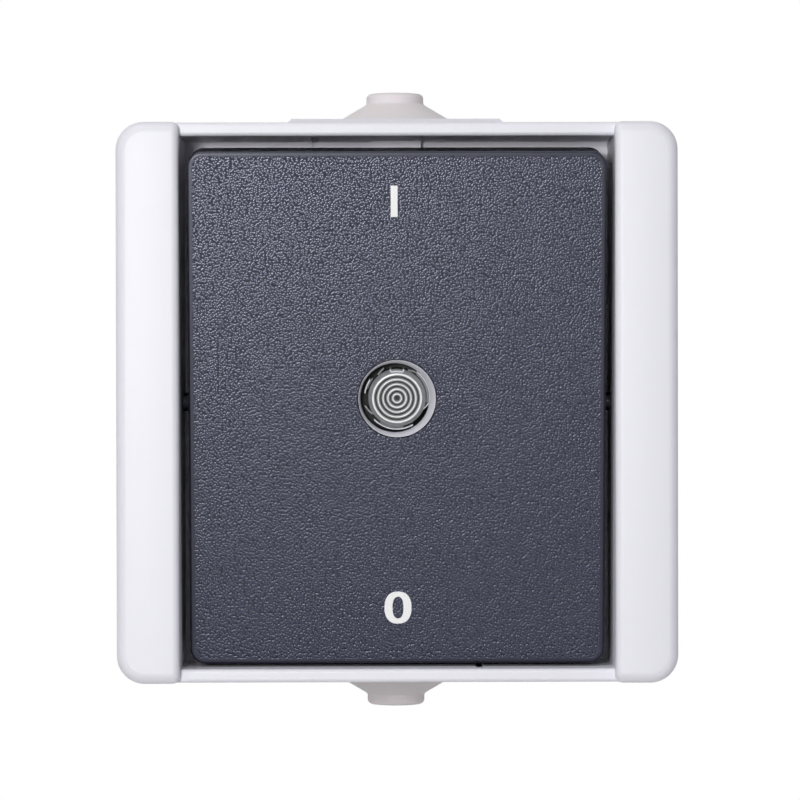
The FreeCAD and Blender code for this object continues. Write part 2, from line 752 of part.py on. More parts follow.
def make_contact_lever():
    """The right contact lever in line with the wall: a plate with a notch for the knife edge."""
    under = knife_edge - lever_notch
    plate = slab(lever_half_x, lever_half_y, under, under + lever_thickness, pole_x, 0)
    corners = edges_at(plate, lambda c, e: abs(c.z - under - lever_thickness / 2) < 1e-3)
    plate = plate.makeFillet(lever_half_x / 3, corners)
    reach = 2 * lever_notch
    points = [
        Vector(pole_x - lever_half_x - 1, -reach, under),
        Vector(pole_x - lever_half_x - 1, 0, knife_edge),
        Vector(pole_x - lever_half_x - 1, reach, under),
    ]
    notch = Part.Face(Part.makePolygon(points + points[:1])).extrude(Vector(2 * lever_half_x + 2, 0, 0))
    rivet_hole = rod(contact_shank_radius, under - 1, under + lever_thickness + 1, pole_x, contact_y)
    return plate.cut([notch, rivet_hole])


def make_moving_contact():
    """The right lever's silver contact: a domed rivet."""
    under = knife_edge - lever_notch
    apex = under - moving_contact_height
    dome = Part.makeSphere(dome_radius, Vector(pole_x, contact_y, apex + dome_radius))
    head = rod(contact_radius, apex, under, pole_x, contact_y).common(dome)
    return joined(head, rod(contact_shank_radius, under - 0.1, under + lever_thickness, pole_x, contact_y))


def make_fixed_contact():
    """The right load strip's silver contact: a flat rivet."""
    head = rod(contact_radius, strip_front, strip_front + fixed_contact_height, pole_x, contact_y)
    return joined(head, rod(contact_shank_radius, trench_floor, strip_front + 0.1, pole_x, contact_y))


def make_feed_strip():
    """The right feed strip: it carries the knife edge and runs down to the lower terminal."""
    low = -strip_end_y
    strip = block(pole_x - strip_half_x, pole_x + strip_half_x, low, feed_tongue_y, trench_floor, strip_front)
    apex = knife_edge - contact_clearance
    points = [
        Vector(pole_x - strip_half_x, -knife_half, strip_front),
        Vector(pole_x - strip_half_x, 0, apex),
        Vector(pole_x - strip_half_x, knife_half, strip_front),
    ]
    knife = Part.Face(Part.makePolygon(points + points[:1])).extrude(Vector(2 * strip_half_x, 0, 0))
    return joined(strip, knife)


def make_load_strip():
    """The right load strip: it carries the fixed contact and runs up to the upper terminal."""
    strip = block(
        pole_x - strip_half_x, pole_x + strip_half_x, load_tongue_y, strip_end_y, trench_floor, strip_front
    )
    return strip.cut(rod(contact_shank_radius, trench_floor - 1, strip_front + 1, pole_x, contact_y))


def make_terminal(side, end):
    """A brass clamp with a wire hole and a screw hole."""
    x, y = side * pole_x, end * terminal_y
    body = slab(terminal_half_x, terminal_half_y, strip_front, terminal_front, x, y)
    wire_hole = up_rod(wire_radius, y - terminal_half_y - 1, y + terminal_half_y + 1, x, wire_height)
    return body.cut([wire_hole, rod(screw_radius + screw_fit, wire_height, terminal_front + 1, x, y)])


def make_terminal_screws():
    seat = terminal_front + terminal_screw_lift
    length = seat - wire_height - wire_radius
    screws = []
    for side in (1, -1):
        for end in (1, -1):
            turn = 30 * side + 50 * end
            screws.append(
                slotted_screw(side * pole_x, end * terminal_y, seat, length, screw_radius,
                              terminal_screw_head_radius, turn)
            )
    return Part.makeCompound(screws)


def make_lamp_holder():
    body = slab(holder_half_x, holder_half_y, holder_back, holder_front)
    cuts = [
        rod(lamp_radius + lamp_fit, holder_front - lamp_socket_depth, holder_front + 1),
        rod(resistor_radius + resistor_fit, holder_front - resistor_length, holder_front + 1, 0, resistor_y),
    ]
    for sign in (1, -1):
        low, high = sorted((sign * (tab_inner_x - holder_clearance), sign * (holder_half_x + 1)))
        cuts.append(
            block(low, high, tab_near_y - holder_clearance, holder_half_y + 1,
                  strip_front, strip_front + tab_thickness + holder_clearance)
        )
    return body.cut(cuts)


def make_glow_lamp():
    low = holder_front - lamp_socket_depth
    shoulder = lamp_top - lamp_tip_length
    tip = Part.makeCone(lamp_radius, lamp_tip_radius, lamp_tip_length, Vector(0, 0, shoulder))
    return joined(rod(lamp_radius, low, shoulder), tip)


def make_lamp_resistor():
    low = holder_front - resistor_length
    return rod(resistor_radius, low, low + resistor_length, 0, resistor_y)


def make_lamp_tab():
    return block(tab_inner_x, tab_outer_x, tab_near_y, tab_far_y, strip_front, strip_front + tab_thickness)


def at_rest():
    """Every named piece, with the rocker in its off position."""
    rocker_turn = rocker_swing
    toggle_turn = -toggle_swing
    pieces = {
        "base_box": make_base_box(),
        "cover_frame": make_cover_frame(),
        "cover_gasket": make_cover_gasket(),
        "top_gland": make_gland(1),
        "bottom_gland": make_gland(-1),
        "cover_screws": make_cover_screws(),
        "mechanism_block": make_mechanism_block(),
        "mechanism_lid": make_mechanism_lid(),
        "mechanism_seal": make_mechanism_seal(),
        "mechanism_screws": make_mechanism_screws(),
        "lid_screws": make_lid_screws(),
        "terminal_screws": make_terminal_screws(),
        "lamp_holder": make_lamp_holder(),
        "glow_lamp": make_glow_lamp(),
        "lamp_resistor": make_lamp_resistor(),
        "rocker": tilted(make_rocker(), pivot, rocker_turn),
        "lens": tilted(make_lens(), pivot, rocker_turn),
        "toggle": tilted(make_toggle(), toggle_pivot, toggle_turn),
    }
    for side_name, side in (("right", 1), ("left", -1)):
        for end_name, end in (("upper", 1), ("lower", -1)):
            pieces[f"{end_name}_{side_name}_terminal"] = make_terminal(side, end)
    paired = {
        "feed_strip": make_feed_strip(),
        "load_strip": make_load_strip(),
        "fixed_contact": make_fixed_contact(),
        "lamp_tab": make_lamp_tab(),
        "contact_lever": tilted(make_contact_lever(), knife_edge, lever_swing),
        "moving_contact": tilted(make_moving_contact(), knife_edge, lever_swing),
        "plunger": tilted(make_plunger(), toggle_pivot, toggle_turn),
        "plunger_spring": tilted(make_plunger_spring(), toggle_pivot, toggle_turn),
    }
    for name, shape in paired.items():
        pieces["right_" + name] = shape
        pieces["left_" + name] = mirrored(shape)
    return pieces


def stood_up(shape):
    """Turn a piece from lying on its back to standing against the wall."""
    turned = shape.copy()
    turned.rotate(Vector(0, 0, 0), Vector(1, 0, 0), 90)
    return turned


os.makedirs("parts", exist_ok=True)
for node, piece in at_rest().items():
    solids = piece.Solids
    whole = solids[0] if len(solids) == 1 else Part.makeCompound(solids)
    stood_up(whole).exportStep(f"parts/{node}.step")
print("pivot", pivot, "toggle pivot", toggle_pivot, "knife edge", round(knife_edge, 4))
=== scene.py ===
"""Looks of the outdoor weatherproof switch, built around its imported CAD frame.

The front faces -Y and +Z is up. Lengths are metres, unless a name ends in _mm; angles end in _deg.
"""

import json
import logging
import math
from dataclasses import dataclass
from enum import Enum
from typing import Any

import bmesh
import bpy
from mathutils import Euler, Matrix, Vector

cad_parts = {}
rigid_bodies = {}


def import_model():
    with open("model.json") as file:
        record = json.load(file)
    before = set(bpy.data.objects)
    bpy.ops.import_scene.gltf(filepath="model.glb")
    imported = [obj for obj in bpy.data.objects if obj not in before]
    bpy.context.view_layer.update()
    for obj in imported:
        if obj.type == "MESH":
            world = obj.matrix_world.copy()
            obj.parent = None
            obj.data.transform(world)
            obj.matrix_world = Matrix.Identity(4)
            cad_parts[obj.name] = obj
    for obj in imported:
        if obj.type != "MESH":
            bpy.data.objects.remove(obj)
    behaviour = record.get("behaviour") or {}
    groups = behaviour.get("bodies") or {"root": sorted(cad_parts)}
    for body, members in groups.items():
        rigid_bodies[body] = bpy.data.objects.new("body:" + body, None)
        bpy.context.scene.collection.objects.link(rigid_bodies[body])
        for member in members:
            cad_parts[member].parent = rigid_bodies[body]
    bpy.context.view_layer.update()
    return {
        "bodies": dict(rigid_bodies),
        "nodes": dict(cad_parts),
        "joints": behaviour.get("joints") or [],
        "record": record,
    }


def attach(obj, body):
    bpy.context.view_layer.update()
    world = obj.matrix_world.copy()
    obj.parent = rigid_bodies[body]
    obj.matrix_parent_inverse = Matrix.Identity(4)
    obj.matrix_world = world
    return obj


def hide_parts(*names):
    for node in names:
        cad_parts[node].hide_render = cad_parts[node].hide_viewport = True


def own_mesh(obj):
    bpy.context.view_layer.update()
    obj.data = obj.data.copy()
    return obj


LOG = logging.getLogger("weatherproof_switch")
MM = 0.001
SIDES = ("left", "right")

Frame = dict[str, Any]
Colour = tuple[float, float, float, float]
Point = tuple[float, float, float]
Outline = list[tuple[float, float]]
Tree = bpy.types.NodeTree
Node = bpy.types.Node
Socket = bpy.types.NodeSocket

WHITE: Colour = (1.0, 1.0, 1.0, 1.0)
# Most values of a noise texture lie between these two.
NOISE_SPAN = (0.3, 0.7)
# A point of an outline that is nearer than this to the axis lies on it.
ON_AXIS_MM = 1e-6
# Edges that bend more than this stay sharp.
TURNED_SHARP_DEG = 32.0
FLAT_SHARP_DEG = 30.0


class Body(str, Enum):
    """The moving bodies that scene pieces ride on."""

    HOUSING = "housing"
    ROCKER = "rocker"
    TOGGLE = "toggle"


class End(int, Enum):
    """Which end of the housing a cable gland sits on."""

    TOP = 1
    BOTTOM = -1


class LensZone(int, Enum):
    """The number of each finish in the lens's mesh."""

    CLEAR = 0
    # Painted highlight: the nearly white finish of the ring crests and the disc's edge.
    CREST = 1
    FROSTED = 2
    # Painted shade: the black finish in the groove, the ring valleys, the middle dot and the joint.
    PAINTED_SHADE = 3


def linear(hex_colour: str) -> Colour:
    """Turn an sRGB hex colour into linear light.

    Args:
        hex_colour: six hex digits.

    Returns:
        Red, green, blue and an alpha of one.
    """
    parts = [int(hex_colour[i:i + 2], 16) / 255 for i in (0, 2, 4)]
    red, green, blue = (
        c / 12.92 if c <= 0.04045 else ((c + 0.055) / 1.055) ** 2.4 for c in parts)
    return red, green, blue, 1.0


def per_metre(size_mm: float) -> float:
    """Return the texture scale whose features are about size_mm wide."""
    return 1.0 / (size_mm * MM)


def joint_named(frame: Frame, name: str) -> dict[str, Any]:
    """Return the joint of that name from the frame."""
    return next(joint for joint in frame["joints"] if joint["name"] == name)


def add_node(tree: Tree, kind: str, inputs: dict[Any, Any], **settings: Any) -> Node:
    """Add one shader node, set it up and link it.

    Args:
        tree: node tree that takes the node.
        kind: Blender's name for the node's type.
        inputs: value, or the output socket to link, for each input by name or number.
        settings: attributes of the node.

    Returns:
        The new node.
    """
    node = tree.nodes.new(kind)
    for name, value in settings.items():
        setattr(node, name, value)
    for key, value in inputs.items():
        if isinstance(value, Socket):
            tree.links.new(value, node.inputs[key])
        else:
            node.inputs[key].default_value = value
    return node


@dataclass(frozen=True)
class Finish:
    """A moulded surface: its colour drifts faintly, and a fine grit breaks up its gloss.

    The grit of a real mould is some hundredths of a millimetre wide. That is too fine to show in
    the render, so the grit is drawn as coarse as it needs to show.
    """

    name: str
    colour: str
    shade: str
    roughness: float
    ior: float = 1.5
    drift_mm: float = 12.0
    grit_mm: float = 0.3
    grit_depth_mm: float = 0.002
    gloss_spread: float = 0.05

    def material(self) -> bpy.types.Material:
        """Build the material, or return it where it was built before.

        Returns:
            The material, named for what it is.
        """
        found = bpy.data.materials.get(self.name)
        if found:
            return found
        made = bpy.data.materials.new(self.name)
        made.use_nodes = True
        tree = made.node_tree
        tree.nodes.clear()
        shader = add_node(tree, "ShaderNodeBsdfPrincipled", {
            "Roughness": self.roughness, "IOR": self.ior})
        add_node(tree, "ShaderNodeOutputMaterial", {"Surface": shader.outputs["BSDF"]})
        place = add_node(tree, "ShaderNodeTexCoord", {}).outputs["Object"]
        self.tint(tree, shader, place)
        self.texture(tree, shader, place)
        return made

    def tint(self, tree: Tree, shader: Node, place: Socket) -> None:
        """Let the colour wander slowly between the finish's colour and its shade.

        Args:
            tree: the material's nodes.
            shader: its principled shader.
            place: socket with each point's place on the piece.
        """
        cloud = add_node(tree, "ShaderNodeTexNoise", {
            "Vector": place, "Scale": per_metre(self.drift_mm), "Detail": 3.0, "Roughness": 0.55})
        mixed = add_node(tree, "ShaderNodeMix", {
            0: cloud.outputs["Fac"], 6: linear(self.colour), 7: linear(self.shade)},
            data_type="RGBA")
        tree.links.new(mixed.outputs[2], shader.inputs["Base Color"])

    def texture(self, tree: Tree, shader: Node, place: Socket) -> None:
        """Give the surface its fine grit.

        Args:
            tree: the material's nodes.
            shader: its principled shader.
            place: socket with each point's place on the piece.
        """
        grit = add_node(tree, "ShaderNodeTexNoise", {
            "Vector": place, "Scale": per_metre(self.grit_mm), "Detail": 2.0, "Roughness": 0.5})
        self.relief(tree, shader, grit.outputs["Fac"])

    def relief(self, tree: Tree, shader: Node, pattern: Socket) -> None:
        """Let a pattern raise the surface and vary its gloss.

        Args:
            tree: the material's nodes.
            shader: its principled shader.
            pattern: socket with the pattern's height.
        """
        low, high = NOISE_SPAN
        spread = add_node(tree, "ShaderNodeMapRange", {
            "Value": pattern, "From Min": low, "From Max": high,
            "To Min": self.roughness - self.gloss_spread,
            "To Max": self.roughness + self.gloss_spread})
        tree.links.new(spread.outputs["Result"], shader.inputs["Roughness"])
        bump = add_node(tree, "ShaderNodeBump", {
            "Height": pattern, "Distance": self.grit_depth_mm * MM})
        tree.links.new(bump.outputs["Normal"], shader.inputs["Normal"])


@dataclass(frozen=True)
class SoftMoulding(Finish):
    """A soft moulded rubber: light sinks a little way in, and its edge has a dusty sheen."""

    depth_mm: float = 0.8
    scatter: float = 0.15
    sheen: float = 0.1

    def texture(self, tree: Tree, shader: Node, place: Socket) -> None:
        """Add the soft scatter and sheen to the grit.

        Args:
            tree: the material's nodes.
            shader: its principled shader.
            place: socket with each point's place on the piece.
        """
        super().texture(tree, shader, place)
        shader.inputs["Subsurface Weight"].default_value = self.scatter
        shader.inputs["Subsurface Scale"].default_value = self.depth_mm * MM
        shader.inputs["Sheen Weight"].default_value = self.sheen


@dataclass(frozen=True)
class WorkedMetal(Finish):
    """Stamped, drawn or plated metal: fine lines from the tool run along it and stretch the gloss.

    Real tool lines are some hundredths of a millimetre apart. That is too fine to show in the
    render, so the lines are drawn as coarse as they need to show.
    """

    line_mm: float = 0.08
    line_length_mm: float = 4.0

    def texture(self, tree: Tree, shader: Node, place: Socket) -> None:
        """Draw the tool lines in the gloss and the relief.

        Args:
            tree: the material's nodes.
            shader: its principled shader.
            place: socket with each point's place on the piece.
        """
        shader.inputs["Metallic"].default_value = 1.0
        across, along = per_metre(self.line_mm), per_metre(self.line_length_mm)
        stretched = add_node(tree, "ShaderNodeMapping", {
            "Vector": place, "Scale": (across, across, along)})
        lines = add_node(tree, "ShaderNodeTexNoise", {
            "Vector": stretched.outputs["Vector"], "Scale": 1.0, "Detail": 3.0, "Roughness": 0.6})
        self.relief(tree, shader, lines.outputs["Fac"])


@dataclass(frozen=True)
class ClearMoulding(Finish):
    """A see-through moulding: light bends through it, and faint flow marks ripple its gloss."""

    clearness: float = 1.0

    def texture(self, tree: Tree, shader: Node, place: Socket) -> None:
        """Let light through, and ripple the surface.

        Args:
            tree: the material's nodes.
            shader: its principled shader.
            place: socket with each point's place on the piece.
        """
        super().texture(tree, shader, place)
        shader.inputs["Transmission Weight"].default_value = self.clearness


@dataclass(frozen=True)
class FacePlane:
    """The rocker's front plane: where it pivots and how far it is turned at rest."""

    pivot: Vector
    turn: float
    out: float

    def place(self, up_mm: float = 0.0) -> Matrix:
        """Return the matrix from face coordinates (right, up, out) to the row frame at rest.

        Args:
            up_mm: how far above the face's middle the coordinates start, in millimetres.

        Returns:
            The matrix.
        """
        lift = Matrix.Translation((0, -self.out, up_mm * MM))
        upright = lift @ Matrix.Rotation(math.pi / 2, 4, "X")
        swing = Matrix.Translation(self.pivot) @ Matrix.Rotation(self.turn, 4, "X")
        return swing @ Matrix.Translation(-self.pivot) @ upright

    def unplace(self) -> tuple[Vector, Euler]:
        """Return the shift and turn that bring a point at rest into face coordinates."""
        back = self.place().inverted()
        return back.to_translation(), back.to_euler()


@dataclass(frozen=True)
class GrainedMoulding(Finish):
    """A spark-eroded moulding: rounded grains all over the face, up to a smooth border.

    Each grain is a low dome, so one spot of it throws the lamp back. The valleys between the grains
    are rougher than the domes, and their shade is painted into the base colour as a darker colour.
    The smooth border is painted most of the way to that darker colour too, as painted shade.
    """

    face: FacePlane | None = None
    half_x_mm: float = 1.0
    half_up_mm: float = 1.0
    corner_mm: float = 1.0
    border_mm: float = 0.62
    border_fade_mm: float = 0.2
    # How far the smooth border is painted towards the valley colour: painted shade.
    border_painted_shade: float = 0.9
    grain_mm: float = 0.3
    grain_depth_mm: float = 0.06
    valley_span: tuple[float, float] = (0.38, 0.62)
    # Painted shade: the darker base colour laid into the valleys between the grains.
    valley_painted_shade_colour: str = "000000"
    valley_roughness: float = 0.5
    gloss: float = 0.5
    gloss_tint: str = "FFFFFF"

    def texture(self, tree: Tree, shader: Node, place: Socket) -> None:
        """Grain the face inside its border.

        Args:
            tree: the material's nodes.
            shader: its principled shader.
            place: socket with each point's place on the piece.
        """
        shift, turn = self.face.unplace()
        flat = add_node(tree, "ShaderNodeMapping", {
            "Vector": place, "Location": shift, "Rotation": turn}).outputs["Vector"]
        grained = self.inside_border(tree, flat)
        from_dome = add_node(tree, "ShaderNodeTexVoronoi", {
            "Vector": flat, "Scale": per_metre(self.grain_mm)},
            voronoi_dimensions="2D").outputs["Distance"]
        fall = add_node(tree, "ShaderNodeMath", {0: from_dome, 1: from_dome}, operation="MULTIPLY")
        height = add_node(tree, "ShaderNodeMath", {
            0: fall.outputs["Value"], 1: grained}, operation="MULTIPLY")
        bump = add_node(tree, "ShaderNodeBump", {
            "Height": height.outputs["Value"], "Distance": self.grain_depth_mm * MM}, invert=True)
        tree.links.new(bump.outputs["Normal"], shader.inputs["Normal"])
        low, high = self.valley_span
        valley = add_node(tree, "ShaderNodeMapRange", {
            "Value": from_dome, "From Min": low, "From Max": high})
        # Painted shade share: high in the valleys and on the smooth border; it also sets the
        # roughness.
        painted_shade_and_dullness = add_node(tree, "ShaderNodeMix", {
            0: grained, 2: self.border_painted_shade, 3: valley.outputs["Result"]}).outputs[0]
        drift = shader.inputs["Base Color"].links[0].from_socket
        # Painted shade: the drifting colour is mixed towards the dark valley colour.
        painted_shade_mix = add_node(tree, "ShaderNodeMix", {
            0: painted_shade_and_dullness, 6: drift, 7: linear(self.valley_painted_shade_colour)}, data_type="RGBA")
        tree.links.new(painted_shade_mix.outputs[2], shader.inputs["Base Color"])
        dull = add_node(tree, "ShaderNodeMix", {
            0: painted_shade_and_dullness, 2: self.roughness, 3: self.valley_roughness})
        tree.links.new(dull.outputs[0], shader.inputs["Roughness"])
        shader.inputs["Specular IOR Level"].default_value = self.gloss
        shader.inputs["Specular Tint"].default_value = linear(self.gloss_tint)

    def inside_border(self, tree: Tree, flat: Socket) -> Socket:
        """Return a socket that is one on the grained field and zero on the smooth border.

        Args:
            tree: the material's nodes.
            flat: socket with each point's place in face coordinates.

        Returns:
            The socket.
        """
        # The third number only has to be larger than any height above the face.
        inner = Vector((
            (self.half_x_mm - self.corner_mm) * MM, (self.half_up_mm - self.corner_mm) * MM, 1.0))
        whole = add_node(tree, "ShaderNodeVectorMath", {0: flat}, operation="ABSOLUTE")
        past = add_node(tree, "ShaderNodeVectorMath", {
            0: whole.outputs["Vector"], 1: inner}, operation="SUBTRACT")
        outer = add_node(tree, "ShaderNodeVectorMath", {
            0: past.outputs["Vector"], 1: (0, 0, 0)}, operation="MAXIMUM")
        reach = add_node(tree, "ShaderNodeVectorMath", {
            0: outer.outputs["Vector"]}, operation="LENGTH")
        limit = (self.corner_mm - self.border_mm) * MM
        return add_node(tree, "ShaderNodeMapRange", {
            "Value": reach.outputs["Value"], "From Min": limit,
            "From Max": limit + self.border_fade_mm * MM,
            "To Min": 1.0, "To Max": 0.0}).outputs["Result"]


# Weather-proof ABS blend, polished mould: cool white and satin, with soft broad highlights along
# the rounded edges.
COVER_ABS = Finish(
    "abs_cool_white_satin", "EFEEF6", "EDECF4", 0.42, 1.53, grit_mm=0.35, grit_depth_mm=0.0005,
    gloss_spread=0.02)
# The same blend from a blasted mould: a touch darker and flatter.
BASE_ABS = Finish(
    "abs_cool_white_blasted", "DDDCE2", "D9D8DE", 0.55, 1.53, grit_mm=0.35, grit_depth_mm=0.004)
# Thermoplastic elastomer: warm pale grey, matt, a little see-through at thin edges.
GLAND_TPE = SoftMoulding(
    "tpe_pale_grey_moulded", "F0EAEC", "EBE5E7", 0.6, 1.5, grit_mm=0.3, grit_depth_mm=0.004,
    sheen=0.0)
# EPDM rubber: matt black with a bloom.
SEAL_EPDM = SoftMoulding(
    "epdm_black_moulded", "1E1E20", "262628", 0.75, 1.52, scatter=0.0, grit_depth_mm=0.01)
# Polycarbonate, polished mould: clear with a grey haze over the dark inside, and hard highlights.
LENS_PC = ClearMoulding(
    "polycarbonate_clear", "D6D7DA", "AEB0B4", 0.08, 1.585, gloss_spread=0.03, drift_mm=1.2,
    grit_mm=1.0, grit_depth_mm=0.002, clearness=0.45)
# Polycarbonate ring crests, nearly white and nearly opaque: painted highlights that draw the
# bright rings.
LENS_PAINTED_CREST_HIGHLIGHT = ClearMoulding(
    "polycarbonate_crest_painted_highlight", "FFFFFF", "F6F6F6", 0.3, 1.585, clearness=0.05, grit_mm=0.3,
    grit_depth_mm=0.003)
# Polycarbonate, blasted mould: the frosted rim that catches the light on the side away from the
# lamp.
LENS_FROST = Finish(
    "polycarbonate_frosted", "DEDDE6", "D6D5DE", 0.65, 1.585, grit_mm=0.25, grit_depth_mm=0.006)
# Polycarbonate, polished clips: half clear, so they stay grey, with bright edges.
LENS_CLIP = ClearMoulding(
    "polycarbonate_clip", "B9BCBE", "8C9092", 0.12, 1.585, clearness=0.35, drift_mm=0.8,
    grit_mm=0.5, grit_depth_mm=0.004)
# Polycarbonate, black and matt: painted shade in the groove round the lens, in the valleys of its
# rings and in the middle dot, and a painted shadow line in the joint round the lens.
LENS_PAINTED_SHADE = Finish(
    "polycarbonate_black_painted_shade", "0B0B0C", "101011", 0.7, 1.585, grit_mm=0.3,
    grit_depth_mm=0.006)
# Solvent ink from a soft pad: dense white, dry, with the least relief of the grain below it.
PRINT_INK = Finish(
    "pad_print_ink_white", "FCFCFC", "F8F8F8", 0.5, 1.48, drift_mm=1.0, grit_mm=0.3,
    grit_depth_mm=0.006)
# Urea thermoset: hard cream moulding with a low even gloss.
INSERT_UREA = Finish("urea_cream_moulded", "E6E2D6", "DEDACE", 0.38, 1.54)
# Nylon: warm white, slippery and faintly waxy.
TOGGLE_PA = SoftMoulding(
    "nylon_natural_moulded", "EBE6D6", "E3DECE", 0.4, 1.53, scatter=0.1, sheen=0.0)
# Acetal: dark, smooth and greasy-looking where it slides.
PLUNGER_POM = Finish("acetal_black_turned", "2A2A2C", "303032", 0.28, 1.48)
# Lamp glass: thin, blown, with faint waves.
LAMP_GLASS = ClearMoulding(
    "soda_glass_blown", "FFE9DC", "FFE2D2", 0.03, 1.52, gloss_spread=0.01, grit_mm=1.5,
    grit_depth_mm=0.003)
# Lacquered ceramic: glossy buff coat with small dips.
RESISTOR_COAT = Finish(
    "ceramic_lacquered_buff", "B89468", "A88458", 0.25, 1.55, drift_mm=1.5, grit_mm=0.6,
    grit_depth_mm=0.01)
# Stamped brass: yellow, with the roll lines of the strip.
STRIP_BRASS = WorkedMetal("brass_stamped", "D9B25F", "CBA350", 0.32, gloss_spread=0.1)
# Silver alloy: bright and faintly dulled by handling.
CONTACT_SILVER = WorkedMetal("silver_alloy_headed", "E9E7E2", "DCD9D3", 0.24, gloss_spread=0.08)
# Zinc-plated steel: bluish bright plating over turned heads.
SCREW_ZINC = WorkedMetal("steel_zinc_plated", "C9CDD2", "B9BEC6", 0.34, gloss_spread=0.1)
# Drawn spring wire: darker steel with lines along the wire.
SPRING_STEEL = WorkedMetal("steel_spring_drawn", "A9ABAF", "989BA0", 0.3, gloss_spread=0.08)


def dress(frame: Frame, finish: Finish, *nodes: str) -> None:
    """Give CAD nodes their finish.

    Args:
        frame: the loaded frame.
        finish: the finish that they get.
        nodes: the nodes' names.
    """
    for name in nodes:
        for material_slot in frame["nodes"][name].material_slots:
            material_slot.material = finish.material()
    LOG.info("%s on %s", finish.name, ", ".join(nodes))


def add_piece(name: str, mesh: bpy.types.Mesh, body: Body, slot: str,
              *finishes: Finish) -> bpy.types.Object:
    """Put a new piece on a moving body.

    Args:
        name: the piece's name.
        mesh: its mesh, in the row frame.
        body: what it rides on.
        slot: the record's material slot that it belongs to; not used.
        finishes: its finishes, in the order of the mesh's material numbers.

    Returns:
        The new object.
    """
    for finish in finishes:
        mesh.materials.append(finish.material())
    piece = bpy.data.objects.new(name, mesh)
    bpy.context.scene.collection.objects.link(piece)
    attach(piece, body.value)
    LOG.info("%s rides on %s", name, body.value)
    return piece


def finished_mesh(name: str, shape: bmesh.types.BMesh, place: Matrix,
                  sharp_deg: float) -> bpy.types.Mesh:
    """Turn a bmesh into a smooth-shaded mesh in its place.

    Args:
        name: the mesh's name.
        shape: its bmesh, which is freed.
        place: matrix into the row frame.
        sharp_deg: edges that bend more than this stay sharp.

    Returns:
        The mesh.
    """
    bmesh.ops.recalc_face_normals(shape, faces=shape.faces)
    mesh = bpy.data.meshes.new(name)
    shape.to_mesh(mesh)
    shape.free()
    mesh.transform(place)
    mesh.shade_smooth()
    mesh.set_sharp_from_angle(angle=math.radians(sharp_deg))
    return mesh


def turned_mesh(name: str, outline: Outline, place: Matrix, segments: int,
                finishes: list[int]) -> bpy.types.Mesh:
    """Spin a closed outline about its own axis, as on a lathe.

    Args:
        name: the mesh's name.
        outline: (radius, height) points in millimetres, from the axis on one side to the axis on
            the other.
        place: matrix into the row frame.
        segments: steps round the axis.
        finishes: number of the finish that each step of the outline takes.

    Returns:
        The mesh.
    """
    shape = bmesh.new()
    angles = [2 * math.pi * step / segments for step in range(segments)]
    rings = []
    for radius, height in outline:
        if radius < ON_AXIS_MM:
            rings.append([shape.verts.new((0, 0, height * MM))] * segments)
            continue
        rings.append([
            shape.verts.new((radius * MM * math.cos(a), radius * MM * math.sin(a), height * MM))
            for a in angles])
    for first, last, finish in zip(rings, rings[1:], finishes):
        for i in range(segments):
            j = (i + 1) % segments
            corner_points = list(dict.fromkeys((first[i], first[j], last[j], last[i])))
            face = shape.faces.new(corner_points)
            face.material_index = finish
    return finished_mesh(name, shape, place, TURNED_SHARP_DEG)


def printed_mesh(name: str, loops: list[Outline], place: Matrix, low_mm: float,
                 high_mm: float) -> bpy.types.Mesh:
    """Raise a flat-topped mark from an outer loop and, where there is one, an inner loop.

    Args:
        name: the mesh's name.
        loops: (right, up) points in millimetres; with two loops the mark is the band between them.
        place: matrix from the face into the row frame.
        low_mm: underside of the mark, from the face.
        high_mm: top of the mark, from the face.

    Returns:
        The mesh.
    """
    shape = bmesh.new()
    layers = [
        [[shape.verts.new((x * MM, y * MM, h * MM)) for x, y in loop] for h in (low_mm, high_mm)]
        for loop in loops]
    for low, high in layers:
        for i in range(len(low)):
            j = (i + 1) % len(low)
            shape.faces.new((low[i], low[j], high[j], high[i]))
    for level in (0, 1):
        if len(layers) == 1:
            shape.faces.new(layers[0][level])
            continue
        outer, inner = layers[0][level], layers[1][level]
        for i in range(len(outer)):
            j = (i + 1) % len(outer)
            shape.faces.new((outer[i], outer[j], inner[j], inner[i]))
    return finished_mesh(name, shape, place, FLAT_SHARP_DEG)


@dataclass
class Housing:
    """The square cover, the base behind it and what holds them together."""

    frame: Frame

    def dress(self) -> None:
        """Finish the housing's CAD nodes."""
        dress(self.frame, COVER_ABS, "cover_frame")
        dress(self.frame, BASE_ABS, "base_box")
        dress(self.frame, SEAL_EPDM, "cover_gasket", "mechanism_seal")
        dress(self.frame, SCREW_ZINC, "cover_screws")


